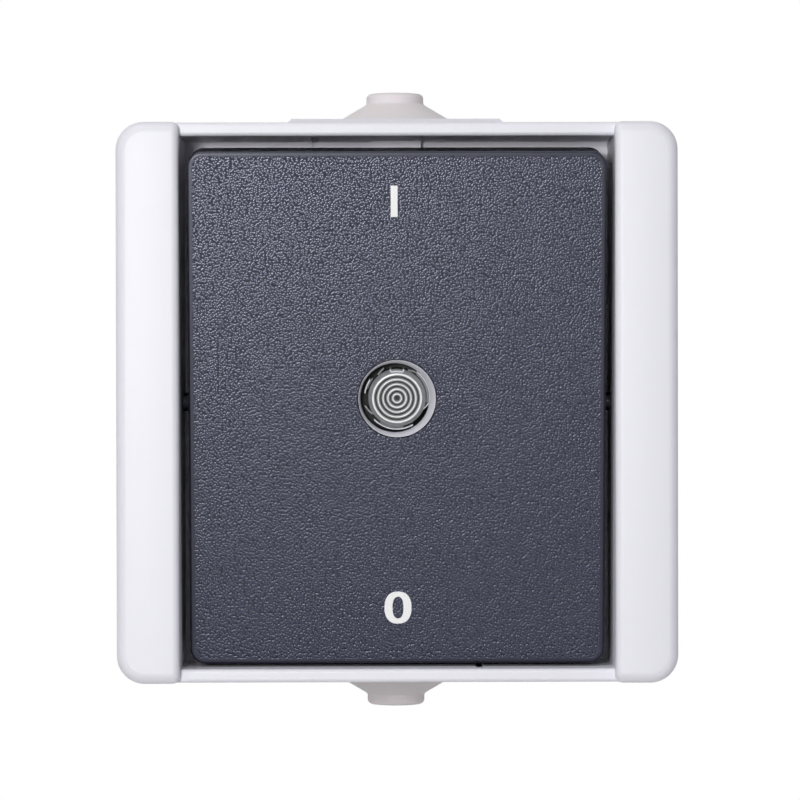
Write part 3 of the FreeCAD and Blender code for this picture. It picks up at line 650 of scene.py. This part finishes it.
@dataclass
class CableGland:
    """One soft stepped gland: a cone on the landing, a round-edged collar and a skin to pierce.

    fillet_mm holds points of the step between collar and cone, each outward from the collar and
    upward from the cone's top.
    """

    end: End
    node: str
    axis_out_mm: float = 13.0
    landing_mm: float = 35.1
    cone_radius_mm: float = 7.7
    cone_rise_mm: float = 2.42
    cone_edge_mm: tuple[float, float] = (0.12, 0.07)
    fillet_mm: tuple[tuple[float, float], ...] = ((0.0, 0.25), (0.06, 0.0), (0.28, -0.18))
    collar_radius_mm: float = 3.62
    collar_round_mm: float = 0.6
    collar_round_steps: int = 6
    tip_mm: float = 3.75
    dimple_radius_mm: float = 1.9
    dimple_mm: float = 0.3
    dimple_slope_mm: tuple[float, float] = (0.15, 0.35)
    neck_radius_mm: float = 5.5
    flange_radius_mm: float = 6.8
    flange_bore_mm: float = 4.4
    wall_mm: float = 2.2
    inner_end_mm: float = -4.0
    bore_radius_mm: float = 2.6
    skin_mm: float = 0.8
    turn_steps: int = 96

    def outline(self) -> Outline:
        """Return the gland's outline, from the pierced skin round to the inside of the bore.

        Returns:
            (radius, height) points in millimetres above the landing.
        """
        dimple_floor = self.tip_mm - self.dimple_mm
        half_way, top = (self.dimple_radius_mm + slope for slope in self.dimple_slope_mm)
        points = [
            (0.0, dimple_floor), (self.dimple_radius_mm, dimple_floor),
            (half_way, self.tip_mm - self.dimple_mm / 2), (top, self.tip_mm)]
        centre_r = self.collar_radius_mm - self.collar_round_mm
        centre_h = self.tip_mm - self.collar_round_mm
        for step in range(self.collar_round_steps + 1):
            angle = math.pi / 2 * (1 - step / self.collar_round_steps)
            points.append((centre_r + self.collar_round_mm * math.cos(angle),
                           centre_h + self.collar_round_mm * math.sin(angle)))
        for outward, upward in self.fillet_mm:
            points.append((self.collar_radius_mm + outward, self.cone_rise_mm + upward))
        edge_in, edge_up = self.cone_edge_mm
        points += [
            (self.cone_radius_mm - edge_in, edge_up), (self.cone_radius_mm, 0.0),
            (self.neck_radius_mm, 0.0), (self.neck_radius_mm, -self.wall_mm),
            (self.flange_radius_mm, -self.wall_mm), (self.flange_radius_mm, self.inner_end_mm),
            (self.flange_bore_mm, self.inner_end_mm), (self.flange_bore_mm, -self.wall_mm),
            (self.bore_radius_mm, 0.0), (self.bore_radius_mm, self.tip_mm - self.skin_mm),
            (0.0, self.tip_mm - self.skin_mm)]
        return points

    def build(self) -> None:
        """Make the gland and let it stand for its CAD node."""
        name = self.node + "_moulding"
        turn = Matrix.Identity(4) if self.end is End.TOP else Matrix.Rotation(math.pi, 4, "X")
        spot = Vector((0, -self.axis_out_mm, self.end.value * self.landing_mm)) * MM
        points = self.outline()
        mesh = turned_mesh(
            name, points, Matrix.Translation(spot) @ turn, self.turn_steps, [0] * len(points))
        piece = add_piece(name, mesh, Body.HOUSING, "gland_elastomer", GLAND_TPE)
        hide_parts(self.node)


@dataclass
class Rocker:
    """The grained rocker with its printed I and 0."""

    frame: Frame
    face_out_mm: float = 50.0
    half_x_mm: float = 24.6
    half_up_mm: float = 30.385
    corner_mm: float = 1.8
    border_mm: float = 0.72
    on_mark_mm: tuple[float, float] = (-0.32, 24.53)
    on_size_mm: tuple[float, float] = (0.8, 3.67)
    off_mark_mm: tuple[float, float] = (0.07, -23.66)
    off_size_mm: tuple[float, float] = (3.2, 3.85)
    off_stroke_mm: tuple[float, float] = (0.95, 0.62)
    oval_power: float = 2.35
    oval_steps: int = 72
    ink_mm: float = 0.03
    ink_foot_mm: float = -0.01

    def face(self) -> FacePlane:
        """Return the rocker's front plane, turned back by half the swing of its joint.

        Returns:
            The plane at rest.
        """
        tilt = joint_named(self.frame, "rocker_tilt")
        half_swing = math.radians(sum(tilt["range_deg"]) / 2)
        return FacePlane(
            Vector(tilt["pos_m"]), -tilt["axis"][0] * half_swing, self.face_out_mm * MM)

    def grain(self) -> GrainedMoulding:
        """Return the rocker's own finish.

        ABS in anthracite from a spark-eroded mould: dark blue-grey, with a glitter of small grains
        under top light. The grains have the width that the photograph shows.

        Returns:
            The finish.
        """
        return GrainedMoulding(
            "abs_anthracite_spark_eroded", "2A2D43", "282B41", 0.22, 1.53, face=self.face(),
            half_x_mm=self.half_x_mm, half_up_mm=self.half_up_mm, corner_mm=self.corner_mm,
            border_mm=self.border_mm, grain_mm=0.27, grain_depth_mm=0.045,
            # The valley colour and the darkened smooth border are painted shade.
            valley_painted_shade_colour="0E1020", valley_roughness=0.3, gloss=0.5, gloss_tint="E4E6F4")

    def build(self) -> None:
        """Finish the rocker and print its two marks."""
        dress(self.frame, self.grain(), "rocker")
        place = self.face().place()
        for name, loops in (("on_mark", [self.bar()]), ("off_mark", self.ring())):
            mesh = printed_mesh(name, loops, place, self.ink_foot_mm, self.ink_mm)
            add_piece(name, mesh, Body.ROCKER, "rocker_plastic", PRINT_INK)

    def bar(self) -> Outline:
        """Draw the I, an upright bar.

        Returns:
            (right, up) points in millimetres.
        """
        x, y = self.on_mark_mm
        w, h = self.on_size_mm[0] / 2, self.on_size_mm[1] / 2
        return [(x - w, y - h), (x + w, y - h), (x + w, y + h), (x - w, y + h)]

    def ring(self) -> list[Outline]:
        """Draw the 0, an upright oval band that is squarer than an ellipse.

        Returns:
            The outer and the inner loop, as (right, up) points in millimetres.
        """
        loops = []
        for shrink in (0.0, 1.0):
            half_w = self.off_size_mm[0] / 2 - shrink * self.off_stroke_mm[0]
            half_h = self.off_size_mm[1] / 2 - shrink * self.off_stroke_mm[1]
            loops.append([
                self.oval_point(half_w, half_h, 2 * math.pi * i / self.oval_steps)
                for i in range(self.oval_steps)])
        return loops

    def oval_point(self, half_w: float, half_h: float, angle: float) -> tuple[float, float]:
        """Return one point of an oval.

        Args:
            half_w: half its width in millimetres.
            half_h: half its height in millimetres.
            angle: where the point lies, in radians.

        Returns:
            The point, right and up, in millimetres.
        """
        power = 2 / self.oval_power
        across = math.copysign(abs(math.cos(angle)) ** power, math.cos(angle))
        up = math.copysign(abs(math.sin(angle)) ** power, math.sin(angle))
        return self.off_mark_mm[0] + half_w * across, self.off_mark_mm[1] + half_h * up


@dataclass(frozen=True)
class Rib:
    """One curved clip in the groove round the lens; angles run clockwise from the top.

    Its radius grows by spread_mm from start to stop, and its top lies at top_mm from the rocker's
    face.
    """

    radius_mm: float
    width_mm: float
    start_deg: float
    stop_deg: float
    top_mm: float
    spread_mm: float = 0.0
    finish: Finish = LENS_FROST


@dataclass
class IndicatorLens:
    """The ringed lens: a frosted sloping rim, a dark groove with clips, and a disc of round rings.

    Heights are measured from the rocker's face, and shares are parts of the rings' pitch. lip_mm
    holds the points of the rim's edge, each inward from the joint and upward from the face.
    The groove, the rings' valleys and the middle dot are painted black as shade, and the thin joint
    round the edge is painted black as a shadow line; the crests are painted white as highlight.
    """

    face: FacePlane
    above_middle_mm: float = 1.25
    radius_mm: float = 4.65
    lip_mm: tuple[tuple[float, float], ...] = ((0.06, -0.05), (0.03, 0.0), (0.0, -0.02))
    # Width of the joint at the lens's edge, painted black as a painted shadow line.
    joint_shadow_mm: float = 0.07
    joint_foot_mm: float = -0.3
    rim_inner_mm: float = 4.12
    rim_foot_mm: float = -1.1
    rim_shift_mm: float = -0.25
    rim_shift_band_mm: float = 0.05
    groove_mm: float = -3.4
    groove_inner_mm: float = 3.42
    groove_draft_mm: float = 0.02
    slope_foot_mm: float = -1.2
    disc_radius_mm: float = 2.95
    disc_mm: float = -0.45
    disc_edge_mm: float = 0.06
    ring_pitch_mm: float = 0.575
    outer_ring_mm: float = 2.8
    ring_depth_mm: float = 0.2
    ring_count: int = 5
    # Share of the pitch painted nearly white as highlight: the crests.
    crest_highlight_share: float = 0.11
    # Shares of the pitch painted black as shade: the valleys and the middle dot.
    valley_shade_share: float = 0.15
    dot_shade_share: float = 0.4
    window_mm: float = -2.15
    recess_radius_mm: float = 2.9
    back_mm: float = -5.0
    steps_per_ring: int = 20
    turn_steps: int = 128
    rib_foot_mm: float = -3.5
    rib_steps: int = 16
    ribs: tuple[Rib, ...] = (
        Rib(3.16, 0.18, -13.0, 13.0, -0.7),
        Rib(3.32, 0.3, -14.5, -11.5, -0.65),
        Rib(3.32, 0.3, 11.5, 14.5, -0.65),
        Rib(3.83, 0.15, -82.0, -56.0, -1.2),
        Rib(3.65, 0.16, -74.0, -52.0, -1.7, finish=LENS_CLIP),
        Rib(3.84, 0.12, 38.0, 100.0, -1.15),
        Rib(3.62, 0.24, 40.0, 100.0, -1.6, finish=LENS_CLIP),
        Rib(3.8, 0.12, 100.0, 116.0, -1.15, spread_mm=-0.5),
        Rib(3.5, 0.2, 22.0, 40.0, -1.4, spread_mm=0.25, finish=LENS_CLIP),
        Rib(3.74, 0.14, 150.0, 226.0, -1.15),
        Rib(3.55, 0.2, 168.0, 214.0, -1.7, finish=LENS_CLIP),
        Rib(3.5, 0.2, 236.0, 256.0, -1.3, spread_mm=0.4, finish=LENS_CLIP),
        Rib(3.5, 0.2, -40.0, -24.0, -1.4, spread_mm=0.3, finish=LENS_CLIP),
    )

    def phase(self, radius: float) -> float:
        """Return how many rings a radius in millimetres lies from the outermost crest."""
        return (radius - self.outer_ring_mm) / self.ring_pitch_mm

    def ridge(self, radius: float) -> float:
        """Return the height of the ringed disc; inside the innermost ring it stays at the bottom.

        Args:
            radius: distance from the lens's axis in millimetres.

        Returns:
            The height in millimetres.
        """
        phase = self.phase(radius)
        if phase < 0.5 - self.ring_count:
            phase = 0.5
        return self.disc_mm - self.ring_depth_mm * (0.5 - 0.5 * math.cos(2 * math.pi * phase))

    def ring_finish(self, radius: float) -> LensZone:
        """Choose the finish of the ringed disc.

        Args:
            radius: distance from the lens's axis in millimetres.

        Returns:
            The crest painted bright as a highlight, the valley or middle dot painted dark as shade,
            or the clear flank between crest and valley.
        """
        phase = self.phase(radius)
        off_crest = abs(phase - round(phase))
        in_dot = phase < 1 - self.ring_count - self.dot_shade_share
        # Painted shade in the valleys and the middle dot; painted highlight on the crests.
        if in_dot or off_crest > 0.5 - self.valley_shade_share:
            return LensZone.PAINTED_SHADE
        return LensZone.CREST if off_crest < self.crest_highlight_share else LensZone.CLEAR

    def outline(self) -> tuple[Outline, list[int]]:
        """Return the lens's outline and the finish of each of its steps.

        Returns:
            (radius, height) points in millimetres from the rocker's face, and one finish a step.
        """
        steps = self.ring_count * self.steps_per_ring
        radii = [self.outer_ring_mm * i / steps for i in range(steps + 1)]
        points = [(r, self.ridge(r)) for r in radii]
        finishes = [self.ring_finish((a + b) / 2) for a, b in zip(radii, radii[1:])]
        edge = self.radius_mm - self.joint_shadow_mm
        draft = self.groove_draft_mm
        beyond = [
            # The disc's edge takes the crests' painted highlight.
            (self.disc_radius_mm, self.disc_mm - self.disc_edge_mm, LensZone.CREST),
            (self.groove_inner_mm, self.slope_foot_mm, LensZone.CLEAR),
            # The groove's walls and floor are painted black as shade.
            (self.groove_inner_mm, self.groove_mm, LensZone.PAINTED_SHADE),
            (self.rim_inner_mm - 2 * draft, self.groove_mm, LensZone.PAINTED_SHADE),
            (self.rim_inner_mm - draft, self.rim_foot_mm, LensZone.PAINTED_SHADE),
            *((edge - inward, upward, LensZone.FROSTED) for inward, upward in self.lip_mm),
            # The thin joint at the lens's edge is painted black: a painted shadow line.
            (self.radius_mm, self.joint_foot_mm, LensZone.PAINTED_SHADE),
            (self.radius_mm, self.back_mm, LensZone.PAINTED_SHADE),
            (self.recess_radius_mm, self.back_mm, LensZone.PAINTED_SHADE),
            (self.recess_radius_mm, self.window_mm, LensZone.CLEAR),
            (0.0, self.window_mm, LensZone.CLEAR),
        ]
        points += [(radius, height) for radius, height, _ in beyond]
        finishes += [finish for _, _, finish in beyond]
        return points, finishes

    def build(self) -> None:
        """Make the lens and let it stand for its CAD node, then set the ribs in its groove."""
        points, finishes = self.outline()
        place = self.face.place(self.above_middle_mm)
        mesh = turned_mesh("ringed_lens", points, Matrix.Identity(4), self.turn_steps, finishes)
        for vertex in mesh.vertices:
            inside_rim = self.rim_inner_mm * MM - vertex.co.xy.length
            if 0.0 <= inside_rim < self.rim_shift_band_mm * MM:
                vertex.co.x += self.rim_shift_mm * MM
        mesh.transform(place)
        piece = add_piece("ringed_lens", mesh, Body.ROCKER, "lens_plastic",
                          LENS_PC, LENS_PAINTED_CREST_HIGHLIGHT, LENS_FROST, LENS_PAINTED_SHADE)
        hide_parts("lens")
        for number, rib in enumerate(self.ribs, 1):
            name = f"lens_rib_{number}"
            mesh = printed_mesh(name, [self.arc(rib)], place, self.rib_foot_mm, rib.top_mm)
            add_piece(name, mesh, Body.ROCKER, "lens_plastic", rib.finish)

    def arc(self, rib: Rib) -> Outline:
        """Return a rib's outline seen from the front.

        Args:
            rib: the rib.

        Returns:
            (right, up) points in millimetres.
        """
        there, back = [], []
        half = rib.width_mm / 2
        for share in (i / self.rib_steps for i in range(self.rib_steps + 1)):
            angle = math.radians(rib.start_deg + (rib.stop_deg - rib.start_deg) * share)
            middle = rib.radius_mm + rib.spread_mm * share
            for line, radius in ((there, middle + half), (back, middle - half)):
                line.append((radius * math.sin(angle), radius * math.cos(angle)))
        return there + back[::-1]


@dataclass
class SwitchInsert:
    """The insulated insert behind the cover: block, lid, toggle, contacts, terminals and lamp."""

    frame: Frame

    def dress(self) -> None:
        """Finish the insert's CAD nodes."""
        dress(self.frame, INSERT_UREA, "mechanism_block", "mechanism_lid")
        dress(self.frame, TOGGLE_PA, "toggle", "lamp_holder")
        dress(self.frame, SCREW_ZINC, "mechanism_screws", "lid_screws", "terminal_screws")
        dress(self.frame, LAMP_GLASS, "glow_lamp")
        dress(self.frame, RESISTOR_COAT, "lamp_resistor")
        for side in SIDES:
            dress(self.frame, STRIP_BRASS,
                  f"{side}_feed_strip", f"{side}_load_strip", f"{side}_lamp_tab",
                  f"{side}_contact_lever", f"upper_{side}_terminal", f"lower_{side}_terminal")
            dress(self.frame, CONTACT_SILVER, f"{side}_fixed_contact", f"{side}_moving_contact")
            dress(self.frame, PLUNGER_POM, f"{side}_plunger")


@dataclass
class PlungerSpring:
    """The coil spring behind one plunger: it sits in the toggle."""

    frame: Frame
    side: str

    def build(self) -> None:
        """Copy the coil's shape from its CAD node, stand for that node and ride on the toggle."""
        node = f"{self.side}_plunger_spring"
        mesh = self.frame["nodes"][node].data.copy()
        mesh.materials.clear()
        piece = add_piece(node + "_coil", mesh, Body.TOGGLE, "spring_steel", SPRING_STEEL)
        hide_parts(node)
        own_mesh(piece)


@dataclass(frozen=True)
class Softbox:
    """One flat lamp of the studio."""

    name: str
    spot: Point
    width: float
    height: float
    watts: float

    def build(self, aim: Vector) -> None:
        """Hang the lamp and turn it to the object.

        Args:
            aim: the point that it faces.
        """
        lamp = bpy.data.lights.new(self.name, "AREA")
        lamp.shape = "RECTANGLE"
        lamp.size = self.width
        lamp.size_y = self.height
        lamp.energy = self.watts
        hung = bpy.data.objects.new(self.name, lamp)
        bpy.context.scene.collection.objects.link(hung)
        hung.location = self.spot
        hung.rotation_euler = (aim - hung.location).to_track_quat("-Z", "Y").to_euler()


@dataclass
class Studio:
    """White surroundings, a pale floor well below the switch, the softboxes and the camera."""

    aim: Point = (0.00033, -0.0517, 0.0003)
    stand: Point = (-0.0026, -0.5017, 0.0051)
    roll_deg: float = -0.115
    lens_mm: float = 172.4
    sensor_mm: float = 36.0
    near_clip: float = 0.01
    front_ambient: float = 0.16
    back_ambient: float = 0.5
    back_from: float = 0.5
    floor_z: float = -0.16
    floor_radius: float = 0.55
    floor_steps: int = 96
    floor_colour: str = "DDDDDD"
    floor_paleness: float = 0.55
    floor_fade: tuple[float, float] = (0.4, 0.95)
    lamps: tuple[Softbox, ...] = (
        Softbox("key_softbox", (-0.085, -0.55, 0.046), 0.06, 0.06, 1.2),
        Softbox("top_softbox", (-0.15, -0.25, 0.45), 0.30, 0.30, 0.80),
        Softbox("low_softbox", (0.20, -0.55, -0.25), 0.40, 0.40, 0.24),
    )

    def build(self) -> None:
        """Set the view, the lamps, the world, the floor and the camera."""
        bpy.context.scene.view_settings.view_transform = "Standard"
        for lamp in self.lamps:
            lamp.build(Vector(self.aim))
        self.surroundings()
        self.floor()
        self.camera()

    def seen_directly(self, tree: Tree) -> Socket:
        """Return a socket that is one for what the camera sees, straight or in gloss or glass.

        Args:
            tree: the nodes that take it.

        Returns:
            The socket.
        """
        path = add_node(tree, "ShaderNodeLightPath", {}).outputs
        pair = add_node(tree, "ShaderNodeMath", {
            0: path["Is Camera Ray"], 1: path["Is Glossy Ray"]}, operation="MAXIMUM")
        return add_node(tree, "ShaderNodeMath", {
            0: pair.outputs["Value"], 1: path["Is Transmission Ray"]},
            operation="MAXIMUM").outputs["Value"]

    def surroundings(self) -> None:
        """Make the world white to the eye, and a softer white as light, brighter at the back."""
        world = bpy.data.worlds.new("white_studio")
        bpy.context.scene.world = world
        world.use_nodes = True
        tree = world.node_tree
        tree.nodes.clear()
        towards = add_node(tree, "ShaderNodeTexCoord", {}).outputs["Generated"]
        along = add_node(tree, "ShaderNodeSeparateXYZ", {"Vector": towards})
        light = add_node(tree, "ShaderNodeMapRange", {
            "Value": along.outputs["Y"], "From Min": 0.0, "From Max": self.back_from,
            "To Min": self.front_ambient, "To Max": self.back_ambient},
            interpolation_type="SMOOTHSTEP")
        strength = add_node(tree, "ShaderNodeMapRange", {
            "Value": self.seen_directly(tree), "To Min": light.outputs["Result"], "To Max": 1.0})
        back = add_node(tree, "ShaderNodeBackground", {
            "Color": WHITE, "Strength": strength.outputs["Result"]})
        add_node(tree, "ShaderNodeOutputWorld", {"Surface": back.outputs["Background"]})

    def floor(self) -> None:
        """Lay a pale round floor well below the switch."""
        shape = bmesh.new()
        bmesh.ops.create_circle(
            shape, cap_ends=True, segments=self.floor_steps, radius=self.floor_radius)
        level = Matrix.Translation((0, 0, self.floor_z))
        mesh = finished_mesh("studio_floor", shape, level, FLAT_SHARP_DEG)
        floor = bpy.data.objects.new("studio_floor", mesh)
        bpy.context.scene.collection.objects.link(floor)
        mesh.materials.append(self.paper())

    def paper(self) -> bpy.types.Material:
        """Build the floor's paper: its edge fades into the white, and from below it is clear.

        Returns:
            The material.
        """
        paper = bpy.data.materials.new("paper_white_matt")
        paper.use_nodes = True
        tree = paper.node_tree
        tree.nodes.clear()
        place = add_node(tree, "ShaderNodeTexCoord", {}).outputs["Object"]
        reach = add_node(tree, "ShaderNodeVectorMath", {0: place}, operation="LENGTH")
        start, stop = (share * self.floor_radius for share in self.floor_fade)
        fade = add_node(tree, "ShaderNodeMapRange", {
            "Value": reach.outputs["Value"], "From Min": start, "From Max": stop,
            "To Min": self.floor_paleness}, interpolation_type="SMOOTHSTEP")
        seen = add_node(tree, "ShaderNodeMath", {
            0: fade.outputs["Result"], 1: self.seen_directly(tree)}, operation="MULTIPLY")
        matt = add_node(tree, "ShaderNodeBsdfDiffuse", {"Color": linear(self.floor_colour)})
        white = add_node(tree, "ShaderNodeEmission", {"Color": WHITE, "Strength": 1.0})
        mixed = add_node(tree, "ShaderNodeMixShader", {
            0: seen.outputs["Value"], 1: matt.outputs["BSDF"], 2: white.outputs["Emission"]})
        below = add_node(tree, "ShaderNodeNewGeometry", {}).outputs["Backfacing"]
        clear = add_node(tree, "ShaderNodeBsdfTransparent", {})
        opened = add_node(tree, "ShaderNodeMixShader", {
            0: below, 1: mixed.outputs["Shader"], 2: clear.outputs["BSDF"]})
        add_node(tree, "ShaderNodeOutputMaterial", {"Surface": opened.outputs["Shader"]})
        return paper

    def camera(self) -> None:
        """Stand the camera in front of the switch, a little above its middle."""
        lens = bpy.data.cameras.new("front_camera")
        lens.sensor_width = self.sensor_mm
        lens.lens = self.lens_mm
        lens.clip_start = self.near_clip
        seen_from = bpy.data.objects.new("front_camera", lens)
        bpy.context.scene.collection.objects.link(seen_from)
        look = (Vector(self.aim) - Vector(self.stand)).to_track_quat("-Z", "Y").to_matrix()
        roll = Matrix.Rotation(math.radians(self.roll_deg), 4, "Z")
        seen_from.matrix_world = Matrix.Translation(self.stand) @ look.to_4x4() @ roll
        bpy.context.scene.camera = seen_from


def main() -> None:
    """Load the frame, dress and add every piece, and light the scene."""
    logging.basicConfig(level=logging.INFO, format="%(name)s: %(message)s")
    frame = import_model()
    Housing(frame).dress()
    CableGland(End.TOP, "top_gland").build()
    CableGland(End.BOTTOM, "bottom_gland").build()
    rocker = Rocker(frame)
    rocker.build()
    IndicatorLens(rocker.face()).build()
    SwitchInsert(frame).dress()
    for side in SIDES:
        PlungerSpring(frame, side).build()
    Studio().build()


if __name__ == "__main__":
    main()
